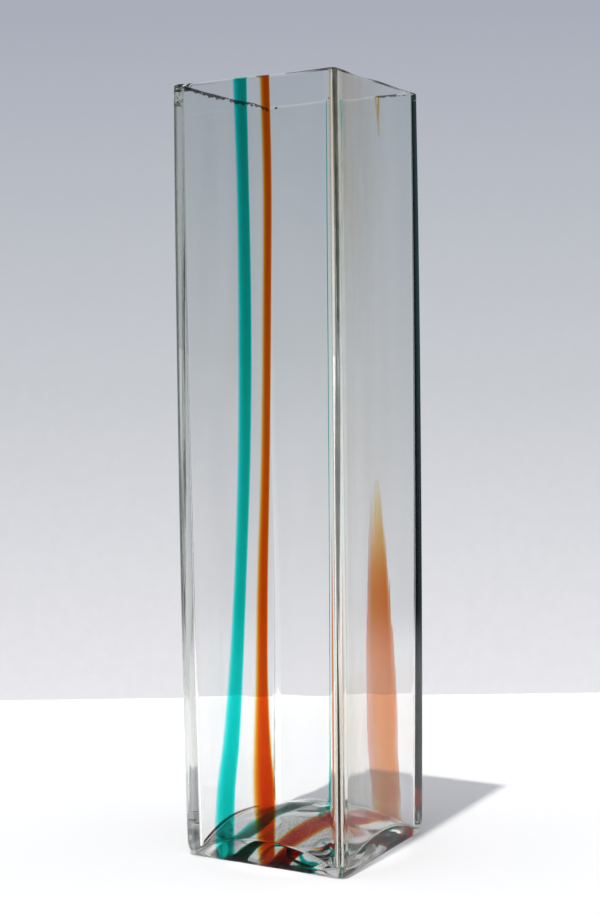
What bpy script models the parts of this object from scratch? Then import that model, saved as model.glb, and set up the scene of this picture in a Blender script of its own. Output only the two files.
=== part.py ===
"""Tall square vase of clear mould-blown glass, with a turquoise and an orange cane melted into its skin.

Metres, +Z up. The vase stands on z = 0 with its middle on the Z axis, and its front wall faces -Y.
Each cane runs down the front wall, under the slightly kicked-up base and up the back wall, flush with the skin.
"""

import math

import bpy
import numpy as np

# Outer form
HEIGHT = 0.390
RIM_WIDTH = 0.0922
BASE_WIDTH = 0.0916
WALL_BOW = 0.0008
RIM_CORNER_RADIUS = 0.0024
BASE_CORNER_RADIUS = 0.0038
LIP_RISE = 0.0012

# Foot ring and the low dome of the underside
BASE_EDGE_RISE = 0.0090
BASE_EDGE_INSET = 0.0020
FOOT_WIDTH = 0.0034
RING_STEP_WIDTH = 0.0030
RING_STEP_RISE = 0.0005
PUNT_HEIGHT = 0.0080

# Glass thickness and inside
RIM_WALL = 0.0045
BASE_WALL = 0.0067
INNER_CORNER_RADIUS = 0.0033
FLOOR_CROWN = 0.0200
FLOOR_CORNER = 0.0020
FLOOR_FILLET = 0.0024

# Canes: nominal widths, and the clearance that keeps each cane apart from its groove
TURQUOISE_WIDTH = 0.0080
ORANGE_WIDTH = 0.0056
FLAME_HEIGHT = 0.1880
RIM_TAIL_WIDTH = 0.0030
RIM_TAIL_LENGTH = 0.0180
SEAT_GAP = 0.0003
OVERRUN = 0.0020
TIP_WIDTH_SHARE = 0.12
DEPTH_SHARE = 0.17
FOOT_TURN_SHARE = 0.80

# Rows of a cane's course up a wall: share of the vase's height (of the flame's, on the orange cane's
# back run), place across the wall as a share of half the base width, share of the cane's nominal width
TURQUOISE_FRONT_SHARES = (
    (0.00, -0.490, 1.50),
    (0.05, -0.480, 1.55),
    (0.10, -0.448, 1.47),
    (0.15, -0.384, 1.34),
    (0.22, -0.322, 1.20),
    (0.34, -0.240, 1.00),
    (0.53, -0.148, 1.00),
    (0.72, -0.115, 1.02),
    (0.88, -0.121, 0.96),
    (1.00, -0.143, 1.06),
)
TURQUOISE_BACK_SHARES = (
    (0.00, -0.140, 1.15),
    (0.10, -0.156, 1.08),
    (0.31, -0.162, 0.98),
    (0.52, -0.156, 0.88),
    (0.73, -0.130, 0.84),
    (1.00, -0.098, 0.82),
)
ORANGE_FRONT_SHARES = (
    (0.00, 0.048, 1.90),
    (0.03, 0.044, 2.00),
    (0.06, 0.037, 2.28),
    (0.10, 0.031, 2.50),
    (0.15, 0.020, 2.04),
    (0.22, 0.024, 1.52),
    (0.34, 0.049, 1.26),
    (0.53, 0.117, 1.02),
    (0.72, 0.161, 0.98),
    (0.88, 0.181, 0.98),
    (1.00, 0.161, 1.07),
)
ORANGE_BACK_SHARES = (
    (0.00, 0.460, 3.24),
    (0.13, 0.458, 3.10),
    (0.22, 0.420, 3.20),
    (0.35, 0.406, 3.30),
    (0.49, 0.384, 2.98),
    (0.65, 0.382, 2.12),
    (0.78, 0.388, 1.68),
    (0.88, 0.394, 1.06),
    (1.00, 0.398, 0.12),
)
RIM_TAIL_PLACE_SHARE = 0.430

# Mesh steps
SIDE_STEPS = 6
CORNER_STEPS = 4
WALL_STEPS = 6
EDGE_STEPS = 4
LIP_STEPS = 6
DOME_STEPS = 6
CANE_SIDES = 10
CANE_WALL_STEPS = 14
UNDERSIDE_STEPS = 11

# Colour, roughness and metallic of each glass, as it looks with light behind it
CLEAR_GLASS = ((0.86, 0.90, 0.88, 1.0), 0.03, 0.0)
TURQUOISE_GLASS = ((0.004, 0.42, 0.38, 1.0), 0.05, 0.0)
ORANGE_GLASS = ((0.62, 0.085, 0.003, 1.0), 0.05, 0.0)


def clear_scene():
    """Removes what a new file holds."""
    for thing in list(bpy.data.objects):
        bpy.data.objects.remove(thing)


def collection(name, parent=None):
    """A new collection in the scene, or inside another."""
    made = bpy.data.collections.new(name)
    (parent or bpy.context.scene.collection).children.link(made)
    return made


def glass(name, look):
    """A glass material from its colour, roughness and metallic."""
    colour, roughness, metallic = look
    material = bpy.data.materials.new(name)
    material.use_nodes = True
    shader = material.node_tree.nodes["Principled BSDF"]
    shader.inputs["Base Color"].default_value = colour
    shader.inputs["Roughness"].default_value = roughness
    shader.inputs["Metallic"].default_value = metallic
    material.diffuse_color = colour
    return material


def between(low, high, share):
    """The value a share of the way from low to high."""
    return low + (high - low) * share


def outer_half(z):
    """Half the outer width at a height: a straight taper with a slight outward bow."""
    share = z / HEIGHT
    bow = WALL_BOW * 4 * share * (1 - share)
    return between(BASE_WIDTH, RIM_WIDTH, share) / 2 + bow


def inner_half(z):
    """Half the inner width at a height: the wall thins from the base to the rim."""
    return outer_half(z) - between(BASE_WALL, RIM_WALL, z / HEIGHT)


def outer_corner(z):
    """Radius of the outer vertical edges at a height."""
    return between(BASE_CORNER_RADIUS, RIM_CORNER_RADIUS, z / HEIGHT)


def floor_height(x, y):
    """The inner floor: a dome that is highest in the middle and lowest in the four corners."""
    drop = FLOOR_CROWN - FLOOR_CORNER
    return FLOOR_CROWN - drop * (x * x + y * y) / (2 * inner_half(FLOOR_CORNER) ** 2)


def foot_halves():
    """Half widths of the flat foot ring at its outer and its inner edge."""
    outside = outer_half(0) - BASE_EDGE_INSET
    return outside, outside - FOOT_WIDTH


def square_reach(x, y, radius):
    """Half width of the rounded square, of a given corner radius, that passes through a point."""
    x, y = np.abs(x), np.abs(y)
    slant = np.abs(x - y)
    corner = radius + (x + y - np.sqrt(2 * radius**2 - np.minimum(slant, radius) ** 2)) / 2
    return np.where(slant < radius, corner, np.maximum(x, y))


def underside_height(x, y):
    """The underside: a small step up from the flat foot ring, then a low dome with a cosine's profile."""
    foot_inner = foot_halves()[1]
    reach = square_reach(x, y, BASE_CORNER_RADIUS - BASE_EDGE_INSET)
    inward = np.clip((foot_inner - reach) / RING_STEP_WIDTH, 0, 1)
    step = RING_STEP_RISE * inward * inward * (3 - 2 * inward)
    inside = np.clip(1 - np.hypot(x, y) / (foot_inner - RING_STEP_WIDTH), 0, 1)
    return step + (PUNT_HEIGHT - RING_STEP_RISE) * (1 - np.cos(inside * math.pi)) / 2


def rounded_square(half, radius):
    """X and Y round a square with rounded corners, anticlockwise from the low end of the +X side."""
    flat = half - radius
    along = np.linspace(-flat, flat, SIDE_STEPS + 1)
    turn = np.linspace(0, math.pi / 2, CORNER_STEPS + 1)[1:-1]
    x = np.concatenate([np.full(len(along), half), flat + radius * np.cos(turn)])
    y = np.concatenate([along, flat + radius * np.sin(turn)])
    quarters = [(x, y), (-y, x), (-x, -y), (y, -x)]
    return np.concatenate([q[0] for q in quarters]), np.concatenate([q[1] for q in quarters])


def section(half, radius, height):
    """One section of the vase: a rounded square at a level, or draped over a height function."""
    x, y = rounded_square(half, radius)
    z = height(x, y) if callable(height) else np.full(len(x), height)
    return np.column_stack([x, y, z])


def shrinking(widest, radius, height):
    """Sections over a dome from near its middle out to its edge, rounder towards the middle."""
    sections = []
    for step in range(1, DOME_STEPS + 1):
        share = step / DOME_STEPS
        half = widest * share
        sections.append(section(half, half * between(1, radius / widest, share), height))
    return sections


def underside_sections():
    """From the middle of the underside out over the dome and down the small step to the foot ring."""
    foot_outer, foot_inner = foot_halves()
    foot_corner = BASE_CORNER_RADIUS - BASE_EDGE_INSET
    dome_edge = foot_inner - RING_STEP_WIDTH
    sections = shrinking(dome_edge, foot_corner, underside_height)
    for share in np.linspace(0, 1, EDGE_STEPS + 1)[1:]:
        half = between(dome_edge, foot_inner, share)
        sections.append(section(half, foot_corner, underside_height))
    sections.append(section(foot_outer, foot_corner, 0))
    return sections


def edge_point(share):
    """A point of the rounded base edge, from the foot (0) up to the wall (1): inset and height."""
    angle = share * math.pi / 2
    return BASE_EDGE_INSET * (1 - math.sin(angle)), BASE_EDGE_RISE * (1 - math.cos(angle))


def outer_wall_sections():
    """Up the rounded base edge and the outer wall to the underside of the lip."""
    sections = []
    for share in np.linspace(0, 1, EDGE_STEPS + 1)[1:]:
        inset, z = edge_point(share)
        sections.append(section(outer_half(z) - inset, outer_corner(z) - inset, z))
    for share in np.linspace(0, 1, WALL_STEPS + 1)[1:]:
        z = between(BASE_EDGE_RISE, HEIGHT - LIP_RISE, share)
        sections.append(section(outer_half(z), outer_corner(z), z))
    return sections


def lip_sections(first, last):
    """Over the rounded lip, between two shares of the way from its outer to its inner side."""
    springing = HEIGHT - LIP_RISE
    outside = outer_half(springing)
    inside = inner_half(springing)
    sections = []
    for step in range(round(first * LIP_STEPS) + 1, round(last * LIP_STEPS) + 1):
        angle = math.pi * step / LIP_STEPS
        share = (1 - math.cos(angle)) / 2
        radius = between(outer_corner(springing), INNER_CORNER_RADIUS, share)
        sections.append(section(between(outside, inside, share), radius, springing + LIP_RISE * math.sin(angle)))
    return sections


def fillet_height(share):
    """A height function for the fillet between floor and wall, from the wall (0) to the floor (1)."""
    rise = FLOOR_FILLET * (1 - math.sin(share * math.pi / 2))
    return lambda x, y: floor_height(x, y) + rise


def inner_sections():
    """Down the inner wall, round the floor fillet and in over the domed floor to its middle."""
    sections = []
    top = HEIGHT - LIP_RISE
    low = FLOOR_CROWN
    for share in np.linspace(0, 1, WALL_STEPS + 1)[1:]:
        z = between(top, low, share)
        sections.append(section(inner_half(z), INNER_CORNER_RADIUS, z))
    wall = inner_half(FLOOR_CORNER)
    for share in np.linspace(0, 1, EDGE_STEPS + 1):
        inset = FLOOR_FILLET * (1 - math.cos(share * math.pi / 2))
        sections.append(section(wall - inset, INNER_CORNER_RADIUS, fillet_height(share)))
    floor = shrinking(wall - FLOOR_FILLET, INNER_CORNER_RADIUS, floor_height)
    return sections + floor[-2::-1]


def loft(name, sections, home, first_cap=None, last_cap=None):
    """A closed solid through sections of equal point count; a cap is a point to fan to, or a flat face."""
    rings = [np.asarray(ring) for ring in sections]
    count = len(rings[0])
    points = list(np.concatenate(rings))
    faces = []
    for row in range(len(rings) - 1):
        low = row * count
        for i in range(count):
            j = (i + 1) % count
            faces.append((low + i, low + j, low + count + j, low + count + i))
    ends = ((first_cap, range(count - 1, -1, -1)), (last_cap, range(len(points) - count, len(points))))
    for cap, loop in ends:
        loop = list(loop)
        if cap is None:
            faces.append(loop)
            continue
        points.append(cap)
        faces += [(a, b, len(points) - 1) for a, b in zip(loop, loop[1:] + loop[:1])]
    mesh = bpy.data.meshes.new(name)
    mesh.from_pydata([tuple(p) for p in points], [], faces)
    mesh.shade_smooth()
    mesh.set_sharp_from_angle(angle=math.radians(40))
    made = bpy.data.objects.new(name, mesh)
    home.objects.link(made)
    return made


def hide(cutter):
    """Marks an object as a cutter."""
    cutter.hide_render = True
    cutter.display_type = "WIRE"


def trim(target, form):
    """Keeps only what of the target lies inside a form."""
    boolean = target.modifiers.new(form.name, "BOOLEAN")
    boolean.operation = "INTERSECT"
    boolean.solver = "EXACT"
    boolean.object = form


def cut_all(target, cutters):
    """Cuts a whole collection of cutters out of the target in one Boolean."""
    boolean = target.modifiers.new(cutters.name, "BOOLEAN")
    boolean.operation = "DIFFERENCE"
    boolean.solver = "EXACT"
    boolean.operand_type = "COLLECTION"
    boolean.collection = cutters


def outer_form(home):
    """The vase filled solid, which trims the canes flush with the skin."""
    sections = underside_sections() + outer_wall_sections() + lip_sections(0, 0.5)
    form = loft("outer_form", sections, home, (0, 0, underside_height(0, 0)), (0, 0, HEIGHT))
    hide(form)
    return form


def vessel(home, material):
    """The clear body: one skin from the middle of the underside, over the lip, to the middle of the floor."""
    sections = underside_sections() + outer_wall_sections() + lip_sections(0, 1) + inner_sections()
    body = loft("clear_vessel", sections, home, (0, 0, underside_height(0, 0)), (0, 0, FLOOR_CROWN))
    body.data.materials.append(material)
    return body


def smooth_rows(rows, at):
    """Columns of a table at given places of its first column, on a smooth curve through its rows."""
    table = np.array(rows)
    knots = table[:, 0]
    at = np.clip(at, knots[0], knots[-1])
    i = np.clip(np.searchsorted(knots, at, side="right") - 1, 0, len(knots) - 2)
    span = knots[i + 1] - knots[i]
    t = (at - knots[i]) / span
    columns = []
    for values in table[:, 1:].T:
        slope = np.gradient(values, knots)
        rise = (2 * t + 1) * (1 - t) ** 2 * values[i] + t * t * (3 - 2 * t) * values[i + 1]
        bend = t * (1 - t) ** 2 * slope[i] - t * t * (1 - t) * slope[i + 1]
        columns.append(rise + bend * span)
    return columns


def middles(steps):
    """Shares at the middle of equal steps, which keeps a cane's sections off the skin's own creases."""
    return [(step + 0.5) / steps for step in range(steps)]


def wall_stations(rows, nominal, side, top, course_height):
    """Stations up a wall: place on the skin, width of the cane there, and its inward turn."""
    stations = []
    for share in middles(CANE_WALL_STEPS) + [1]:
        z = between(BASE_EDGE_RISE, top, share)
        place, width = smooth_rows(rows, z / course_height)
        x = place * BASE_WIDTH / 2
        stations.append((x, side * outer_half(min(z, HEIGHT)), z, width * nominal, 0))
    return stations


def edge_stations(rows, nominal, side):
    """Stations on the foot and round the base edge, where the inward direction turns from up to level."""
    place, width = smooth_rows(rows, 0)
    foot = sum(foot_halves()) / 2
    stations = [(place * BASE_WIDTH / 2, side * foot, 0, width * nominal, FOOT_TURN_SHARE)]
    for share in middles(EDGE_STEPS):
        inset, z = edge_point(share)
        place, width = smooth_rows(rows, z / HEIGHT)
        y = side * (outer_half(z) - inset)
        turn = between(FOOT_TURN_SHARE, 0, share)
        stations.append((place * BASE_WIDTH / 2, y, z, width * nominal, turn))
    return stations


def underside_stations(front, back):
    """Stations across the underside, from inside the front of the foot ring to inside its back."""
    start, stop = front[0], back[0]
    edge = foot_halves()[1]
    stations = []
    for y in between(-edge, edge, np.array(middles(UNDERSIDE_STEPS))):
        share = (y - start[1]) / (stop[1] - start[1])
        x, width = between(start[0], stop[0], share), between(start[3], stop[3], share)
        stations.append((x, y, float(underside_height(x, y)), width, 1))
    return stations


def cane_sections(stations, grow):
    """Flattened sections: outside the skin a short overrun, inside it half an ellipse, grown by a margin."""
    sections = []
    for x, y, z, width, up in stations:
        side = -1 if y < 0 else 1
        tilt = up * math.pi / 2
        inward = np.array([0, -side * math.cos(tilt), math.sin(tilt)])
        angle = 2 * math.pi * np.array(middles(CANE_SIDES))[::-1]
        reach = width / 2 * np.cos(angle)
        across = reach + grow * np.cos(angle)
        depth = np.where(np.sin(angle) > 0, width * DEPTH_SHARE + grow, OVERRUN + grow) * np.sin(angle)
        drape = underside_height(x + reach, y) - underside_height(x, y)
        skin = np.column_stack([x + across, np.full(CANE_SIDES, y), z + drape])
        sections.append(skin + np.outer(depth, inward))
    return sections


def lay_cane(name, stations, form, material, homes):
    """A cane trimmed to the skin, and the cutter of its groove, a seat gap larger all round."""
    parts, grooves = homes
    cane = loft(name, cane_sections(stations, 0), parts)
    cane.data.materials.append(material)
    trim(cane, form)
    hide(loft(name + "_groove", cane_sections(stations, SEAT_GAP), grooves))


def turquoise_stations():
    """Course of the turquoise cane, from above the front rim, under the base, to above the back rim."""
    top = HEIGHT + OVERRUN
    front = edge_stations(TURQUOISE_FRONT_SHARES, TURQUOISE_WIDTH, -1)
    back = edge_stations(TURQUOISE_BACK_SHARES, TURQUOISE_WIDTH, 1)
    front_wall = wall_stations(TURQUOISE_FRONT_SHARES, TURQUOISE_WIDTH, -1, top, HEIGHT)
    back_wall = wall_stations(TURQUOISE_BACK_SHARES, TURQUOISE_WIDTH, 1, top, HEIGHT)
    return front_wall[::-1] + front[::-1] + underside_stations(front, back) + back + back_wall


def orange_stations():
    """Course of the orange cane, from above the front rim, under the base, to its flame-shaped end."""
    front = edge_stations(ORANGE_FRONT_SHARES, ORANGE_WIDTH, -1)
    back = edge_stations(ORANGE_BACK_SHARES, ORANGE_WIDTH, 1)
    front_wall = wall_stations(ORANGE_FRONT_SHARES, ORANGE_WIDTH, -1, HEIGHT + OVERRUN, HEIGHT)
    back_wall = wall_stations(ORANGE_BACK_SHARES, ORANGE_WIDTH, 1, FLAME_HEIGHT, FLAME_HEIGHT)
    return front_wall[::-1] + front[::-1] + underside_stations(front, back) + back + back_wall


def rim_tail_stations():
    """Course of the short orange tail below the back rim, which tapers downwards."""
    stations = []
    x = RIM_TAIL_PLACE_SHARE * BASE_WIDTH / 2
    for share in np.linspace(0, 1, EDGE_STEPS + 1):
        z = between(HEIGHT - RIM_TAIL_LENGTH, HEIGHT + OVERRUN, share)
        width = RIM_TAIL_WIDTH * between(TIP_WIDTH_SHARE, 1, math.sin(share * math.pi / 2))
        stations.append((x, outer_half(min(z, HEIGHT)), z, width, 0.0))
    return stations


def build():
    """Makes the vase."""
    clear_scene()
    parts = collection("square_glass_vase")
    cutters = collection("cutters")
    grooves = collection("grooves", cutters)
    form = outer_form(cutters)
    body = vessel(parts, glass("clear_glass", CLEAR_GLASS))
    homes = parts, grooves
    lay_cane("turquoise_cane", turquoise_stations(), form, glass("turquoise_glass", TURQUOISE_GLASS), homes)
    lay_cane("orange_cane", orange_stations(), form, glass("orange_glass", ORANGE_GLASS), homes)
    lay_cane("orange_rim_tail", rim_tail_stations(), form, glass("orange_tail_glass", ORANGE_GLASS), homes)
    cut_all(body, grooves)


build()
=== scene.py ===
"""Looks of a tall square vase of clear mould-blown glass, with a turquoise and an orange strand in its skin.

Metres, +Z up. The vase stands on z = 0 with its middle on the Z axis, and its front wall faces -Y.
"""

import math

import bpy
import numpy as np
from mathutils import Matrix, Vector


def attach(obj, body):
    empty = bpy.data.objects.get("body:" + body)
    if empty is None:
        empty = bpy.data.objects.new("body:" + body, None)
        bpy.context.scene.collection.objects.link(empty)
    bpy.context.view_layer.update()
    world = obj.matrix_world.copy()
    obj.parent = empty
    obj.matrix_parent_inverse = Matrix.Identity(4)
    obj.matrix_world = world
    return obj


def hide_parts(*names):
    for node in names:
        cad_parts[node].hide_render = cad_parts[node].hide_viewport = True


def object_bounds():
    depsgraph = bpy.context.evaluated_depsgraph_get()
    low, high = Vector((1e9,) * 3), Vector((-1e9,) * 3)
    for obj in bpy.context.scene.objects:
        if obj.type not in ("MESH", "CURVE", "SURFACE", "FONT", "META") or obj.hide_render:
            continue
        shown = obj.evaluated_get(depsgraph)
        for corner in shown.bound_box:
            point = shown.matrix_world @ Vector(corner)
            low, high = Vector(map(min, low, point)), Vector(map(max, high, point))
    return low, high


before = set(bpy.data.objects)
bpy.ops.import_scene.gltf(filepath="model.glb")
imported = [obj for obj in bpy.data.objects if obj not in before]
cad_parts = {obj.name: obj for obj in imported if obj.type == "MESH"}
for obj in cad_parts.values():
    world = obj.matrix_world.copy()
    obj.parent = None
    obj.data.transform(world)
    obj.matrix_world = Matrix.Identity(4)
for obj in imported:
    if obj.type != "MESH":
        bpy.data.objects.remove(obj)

bl_info = {
    "name": "Square blown glass vase",
    "version": (1, 0, 0),
    "blender": (4, 5, 0),
    "location": "3D View > Sidebar > Vase",
    "description": "Builds a square blown glass vase with two coloured strands, its floor, backdrop and light",
    "category": "Add Mesh",
}

CAD_LOW, CAD_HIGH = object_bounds()
HEIGHT = CAD_HIGH[2]
WHITE, BLACK = (1.0, 1.0, 1.0), (0.0, 0.0, 0.0)

# Rows of points along the profile of the vessel, and points on each side and corner of a row
DOME_ROWS, STEP_ROWS, RING_ROWS, EDGE_ROWS = 28, 14, 3, 12
WALL_ROWS, LIP_ROWS, FILLET_ROWS = 60, 14, 10
SIDE_POINTS, CORNER_POINTS = 72, 14
# The last row of a wall stands this share of the wall short of the lip, so that only the lip looks rounded
LIP_GAP = 0.0008

# Rows of a strand's course up a wall: share of the vase's height, place across the wall as a share of half
# the base width, share of the strand's nominal width, share of its nominal thickness
TURQUOISE_FRONT_SHARES = (
    (0.00, -0.490, 1.50, 0.72),
    (0.05, -0.480, 1.55, 0.70),
    (0.10, -0.448, 1.47, 0.67),
    (0.15, -0.384, 1.34, 0.61),
    (0.22, -0.322, 1.20, 0.55),
    (0.34, -0.240, 1.00, 0.70),
    (0.53, -0.148, 1.00, 0.83),
    (0.72, -0.115, 1.02, 0.98),
    (0.88, -0.121, 0.96, 1.08),
    (1.00, -0.143, 1.06, 1.16),
)
TURQUOISE_BACK_SHARES = (
    (0.00, -0.140, 1.15, 1.10),
    (0.05, -0.132, 0.90, 1.00),
    (0.10, -0.120, 0.66, 1.00),
    (0.31, -0.116, 0.55, 1.00),
    (0.52, -0.113, 0.52, 1.00),
    (0.73, -0.098, 0.48, 1.00),
    (1.00, -0.090, 0.46, 1.00),
)
ORANGE_FRONT_SHARES = (
    (0.00, 0.048, 1.90, 1.20),
    (0.03, 0.044, 2.00, 1.22),
    (0.06, 0.037, 2.28, 1.25),
    (0.10, 0.031, 2.50, 1.20),
    (0.15, 0.020, 2.04, 1.08),
    (0.22, 0.024, 1.52, 1.02),
    (0.34, 0.049, 1.26, 1.00),
    (0.53, 0.117, 1.02, 0.84),
    (0.72, 0.161, 0.98, 0.88),
    (0.88, 0.181, 0.98, 0.88),
    (1.00, 0.161, 1.07, 0.92),
)
ORANGE_BACK_SHARES = (
    (0.000, 0.460, 3.24, 0.70),
    (0.060, 0.458, 3.10, 0.32),
    (0.105, 0.420, 3.20, 0.26),
    (0.170, 0.406, 3.30, 0.30),
    (0.238, 0.386, 2.98, 0.40),
    (0.292, 0.386, 2.40, 0.40),
    (0.341, 0.390, 1.92, 0.34),
    (0.385, 0.393, 1.50, 0.22),
    (0.425, 0.390, 1.08, 0.13),
    (0.455, 0.384, 0.78, 0.08),
    (0.482, 0.386, 0.24, 0.04),
)
DRIP_STREAM_SHARES = (
    ((0.947, 0.443, 0.07, 0.06), (0.973, 0.440, 0.18, 0.17), (1.000, 0.455, 0.20, 0.19)),
    ((0.960, 0.443, 0.07, 0.06), (0.976, 0.426, 0.15, 0.14), (1.000, 0.412, 0.18, 0.17)),
)
# How far the strands' ends stand from the ends of their path, and places along the back wall, from its foot,
# between which the orange strand turns to its paler end and back
END_GAP = 0.0002
FLAME_BODY = (-0.004, 0.012, 0.115, 0.175)
# Coarse and fine grooves of a strand: depth as a share of its thickness, turns across it, and phase
GROOVES = ((0.04, 9.0, 1.0), (0.02, 23.0, 0.0))

# Tints of the glass where they differ from plain, as what it lets through, with painted shade among them where said
UNEVEN_TINT, RIM_SMOKE, FRONT_SMOKE = (0.975, 0.98, 0.975), (0.965, 0.99, 0.985), (0.86, 0.865, 0.875)
FILM_LOW, FILM_MIDDLE, FILM_HIGH = (0.64, 0.60, 0.52), (0.93, 0.91, 0.86), (0.73, 0.64, 0.51)
# Painted shade of the front-left corner line, a darker tint low on the right wall, and painted shade of the rim
EDGE_SHADE_TINT, LOW_RIGHT_TINT, RIM_SHADE = (0.20, 0.22, 0.20), (0.93, 0.90, 0.88), (0.02, 0.02, 0.02)
# Painted shade under the base, broken up by grain: its dark and pale ends
UNDERSIDE_SHADE_DARK, UNDERSIDE_SHADE_PALE = (0.34, 0.30, 0.27), (0.74, 0.72, 0.70)
TURQUOISE_STREAK, ORANGE_STREAK, FLAME_TINT = (0.90, 0.93, 0.93), (0.93, 0.90, 0.86), (0.80, 0.44, 0.40)
# Light that leaves the clear glass at its upright edges
EDGE_LOW, EDGE_HIGH, EDGE_LOW_LEFT = (0.036, 0.040, 0.036), (0.022, 0.026, 0.022), (0.125, 0.128, 0.120)
SPECK_DARK, SPECK_PALE, SPECK_LOW = (0.030, 0.032, 0.027), (0.100, 0.103, 0.088), (0.02, 0.02, 0.02)
TEAL_LOW, TEAL_HIGH = (0.004, 0.010, 0.010), (0.006, 0.022, 0.022)
# Distance from the middle at which the rim's wall begins, as a smooth step
RIM_INSIDE = (0.0410, 0.0418)


def length(name, default, description):
    """A length that a user would change."""
    return bpy.props.FloatProperty(
        name=name, description=description, default=default, min=0, unit="LENGTH", precision=5)


def shift(name, default, description):
    """A distance that may be negative."""
    return bpy.props.FloatProperty(
        name=name, description=description, default=default, unit="LENGTH", precision=5)


def place(name, default, description):
    """A place in space."""
    return bpy.props.FloatVectorProperty(
        name=name, description=description, default=default, size=3, subtype="TRANSLATION", precision=5)


def angle(name, degrees, description):
    """An angle, given in degrees."""
    return bpy.props.FloatProperty(
        name=name, description=description, default=math.radians(degrees), unit="ROTATION")


def number(name, default, description):
    """A plain number that isn't negative."""
    return bpy.props.FloatProperty(name=name, description=description, default=default, min=0)


def colour(name, default, description):
    """A linear colour."""
    return bpy.props.FloatVectorProperty(
        name=name, description=description, default=default, size=3, min=0, max=1, subtype="COLOR")


class VaseSizes(bpy.types.PropertyGroup):
    """Sizes of the clear vessel."""

    height: length("Height", HEIGHT, "From the floor to the rim")
    rim_width: length("Rim width", 0.0922, "Outer width at the rim")
    base_width: length("Base width", 0.0916, "Outer width above the foot")
    bow: length("Wall bow", 0.0008, "How far the walls bow outwards at mid height")
    rim_wall: length("Wall at the rim", 0.00435, "Thickness of the wall at the rim")
    base_wall: length("Wall at the base", 0.0056, "Thickness of the wall at the base")
    rim_corner: length("Corner at the rim", 0.0031, "Radius of the outer vertical edges at the rim")
    base_corner: length("Corner at the base", 0.0026, "Radius of the outer vertical edges at the base")
    foot_corner: length("Corner of the foot", 0.0036, "Radius of the corners of the foot ring")
    inner_corner: length("Inner corner at the rim", 0.0017, "Radius of the inner vertical edges at the rim")
    low_inner_corner: length("Inner corner at the base", 0.0036, "Radius of the inner vertical edges at the base")
    lean: shift("Inside shift", -0.0001, "How far the inside stands to +Y of the middle at the rim")
    lip_rise: length("Lip rise", 0.0012, "Height of the rounded lip")
    edge_rise: length("Base edge rise", 0.0090, "Height of the rounded edge at the foot")
    edge_inset: length("Base edge inset", 0.0020, "How far the foot stands in from the wall")
    foot_width: length("Foot width", 0.0034, "Width of the flat foot ring")
    shoulder: length("Underside shoulder", 0.0030, "Width of the step inside the foot ring")
    ring_rise: length("Ring rise", 0.0005, "Height of the step inside the foot ring")
    punt: length("Punt", 0.0080, "Height of the underside in the middle")
    floor_crown: length("Floor crown", 0.0200, "Height of the inner floor in the middle")
    floor_corner: length("Floor corner", 0.0020, "Height of the inner floor in the corners")
    floor_fillet: length("Floor fillet", 0.0024, "Radius between the inner floor and the wall")
    wave: length("Wall waves", 0.00006, "Slow unevenness of the inner wall")
    cords: length("Cords", 0.000004, "Fine upright ridges of the inner wall")
    skin_wave: length("Skin waves", 0.00004, "Slow unevenness of the outer wall")
    rim_wander: length("Rim wander", 0.00022, "How far the rim wanders up and down")
    rim_chips: length("Rim chips", 0.00085, "Depth of the rough places on the left rim")
    floor_wave: length("Floor waves", 0.00035, "Unevenness of the inner floor and the underside")


class StrandSizes(bpy.types.PropertyGroup):
    """Sizes of the coloured strands in the skin."""

    depth: length("Depth", 0.00012, "Clear glass over the strands")
    turquoise_width: length("Turquoise width", 0.0080, "Nominal width of the turquoise strand")
    turquoise_thickness: length("Turquoise thickness", 0.0013, "Nominal thickness of the turquoise strand")
    orange_width: length("Orange width", 0.0056, "Nominal width of the orange strand")
    orange_thickness: length("Orange thickness", 0.0013, "Nominal thickness of the orange strand")


class GlassColours(bpy.types.PropertyGroup):
    """Colours of the three kinds of glass, as what they let through, and how strongly they absorb."""

    clear: colour("Clear glass", (0.42, 0.45, 0.40), "Light that the clear glass lets through")
    clear_density: number("Clear density", 7.0, "Absorption of the clear glass per metre")
    turquoise: colour("Turquoise", (0.0, 0.9375, 0.921), "Light that the turquoise glass lets through")
    turquoise_density: number("Turquoise density", 9600.0, "Absorption of the turquoise glass per metre")
    orange: colour("Orange", (0.958, 0.720, 0.0), "Light that the orange glass lets through")
    orange_density: number("Orange density", 7260.0, "Absorption of the orange glass per metre")


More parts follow.
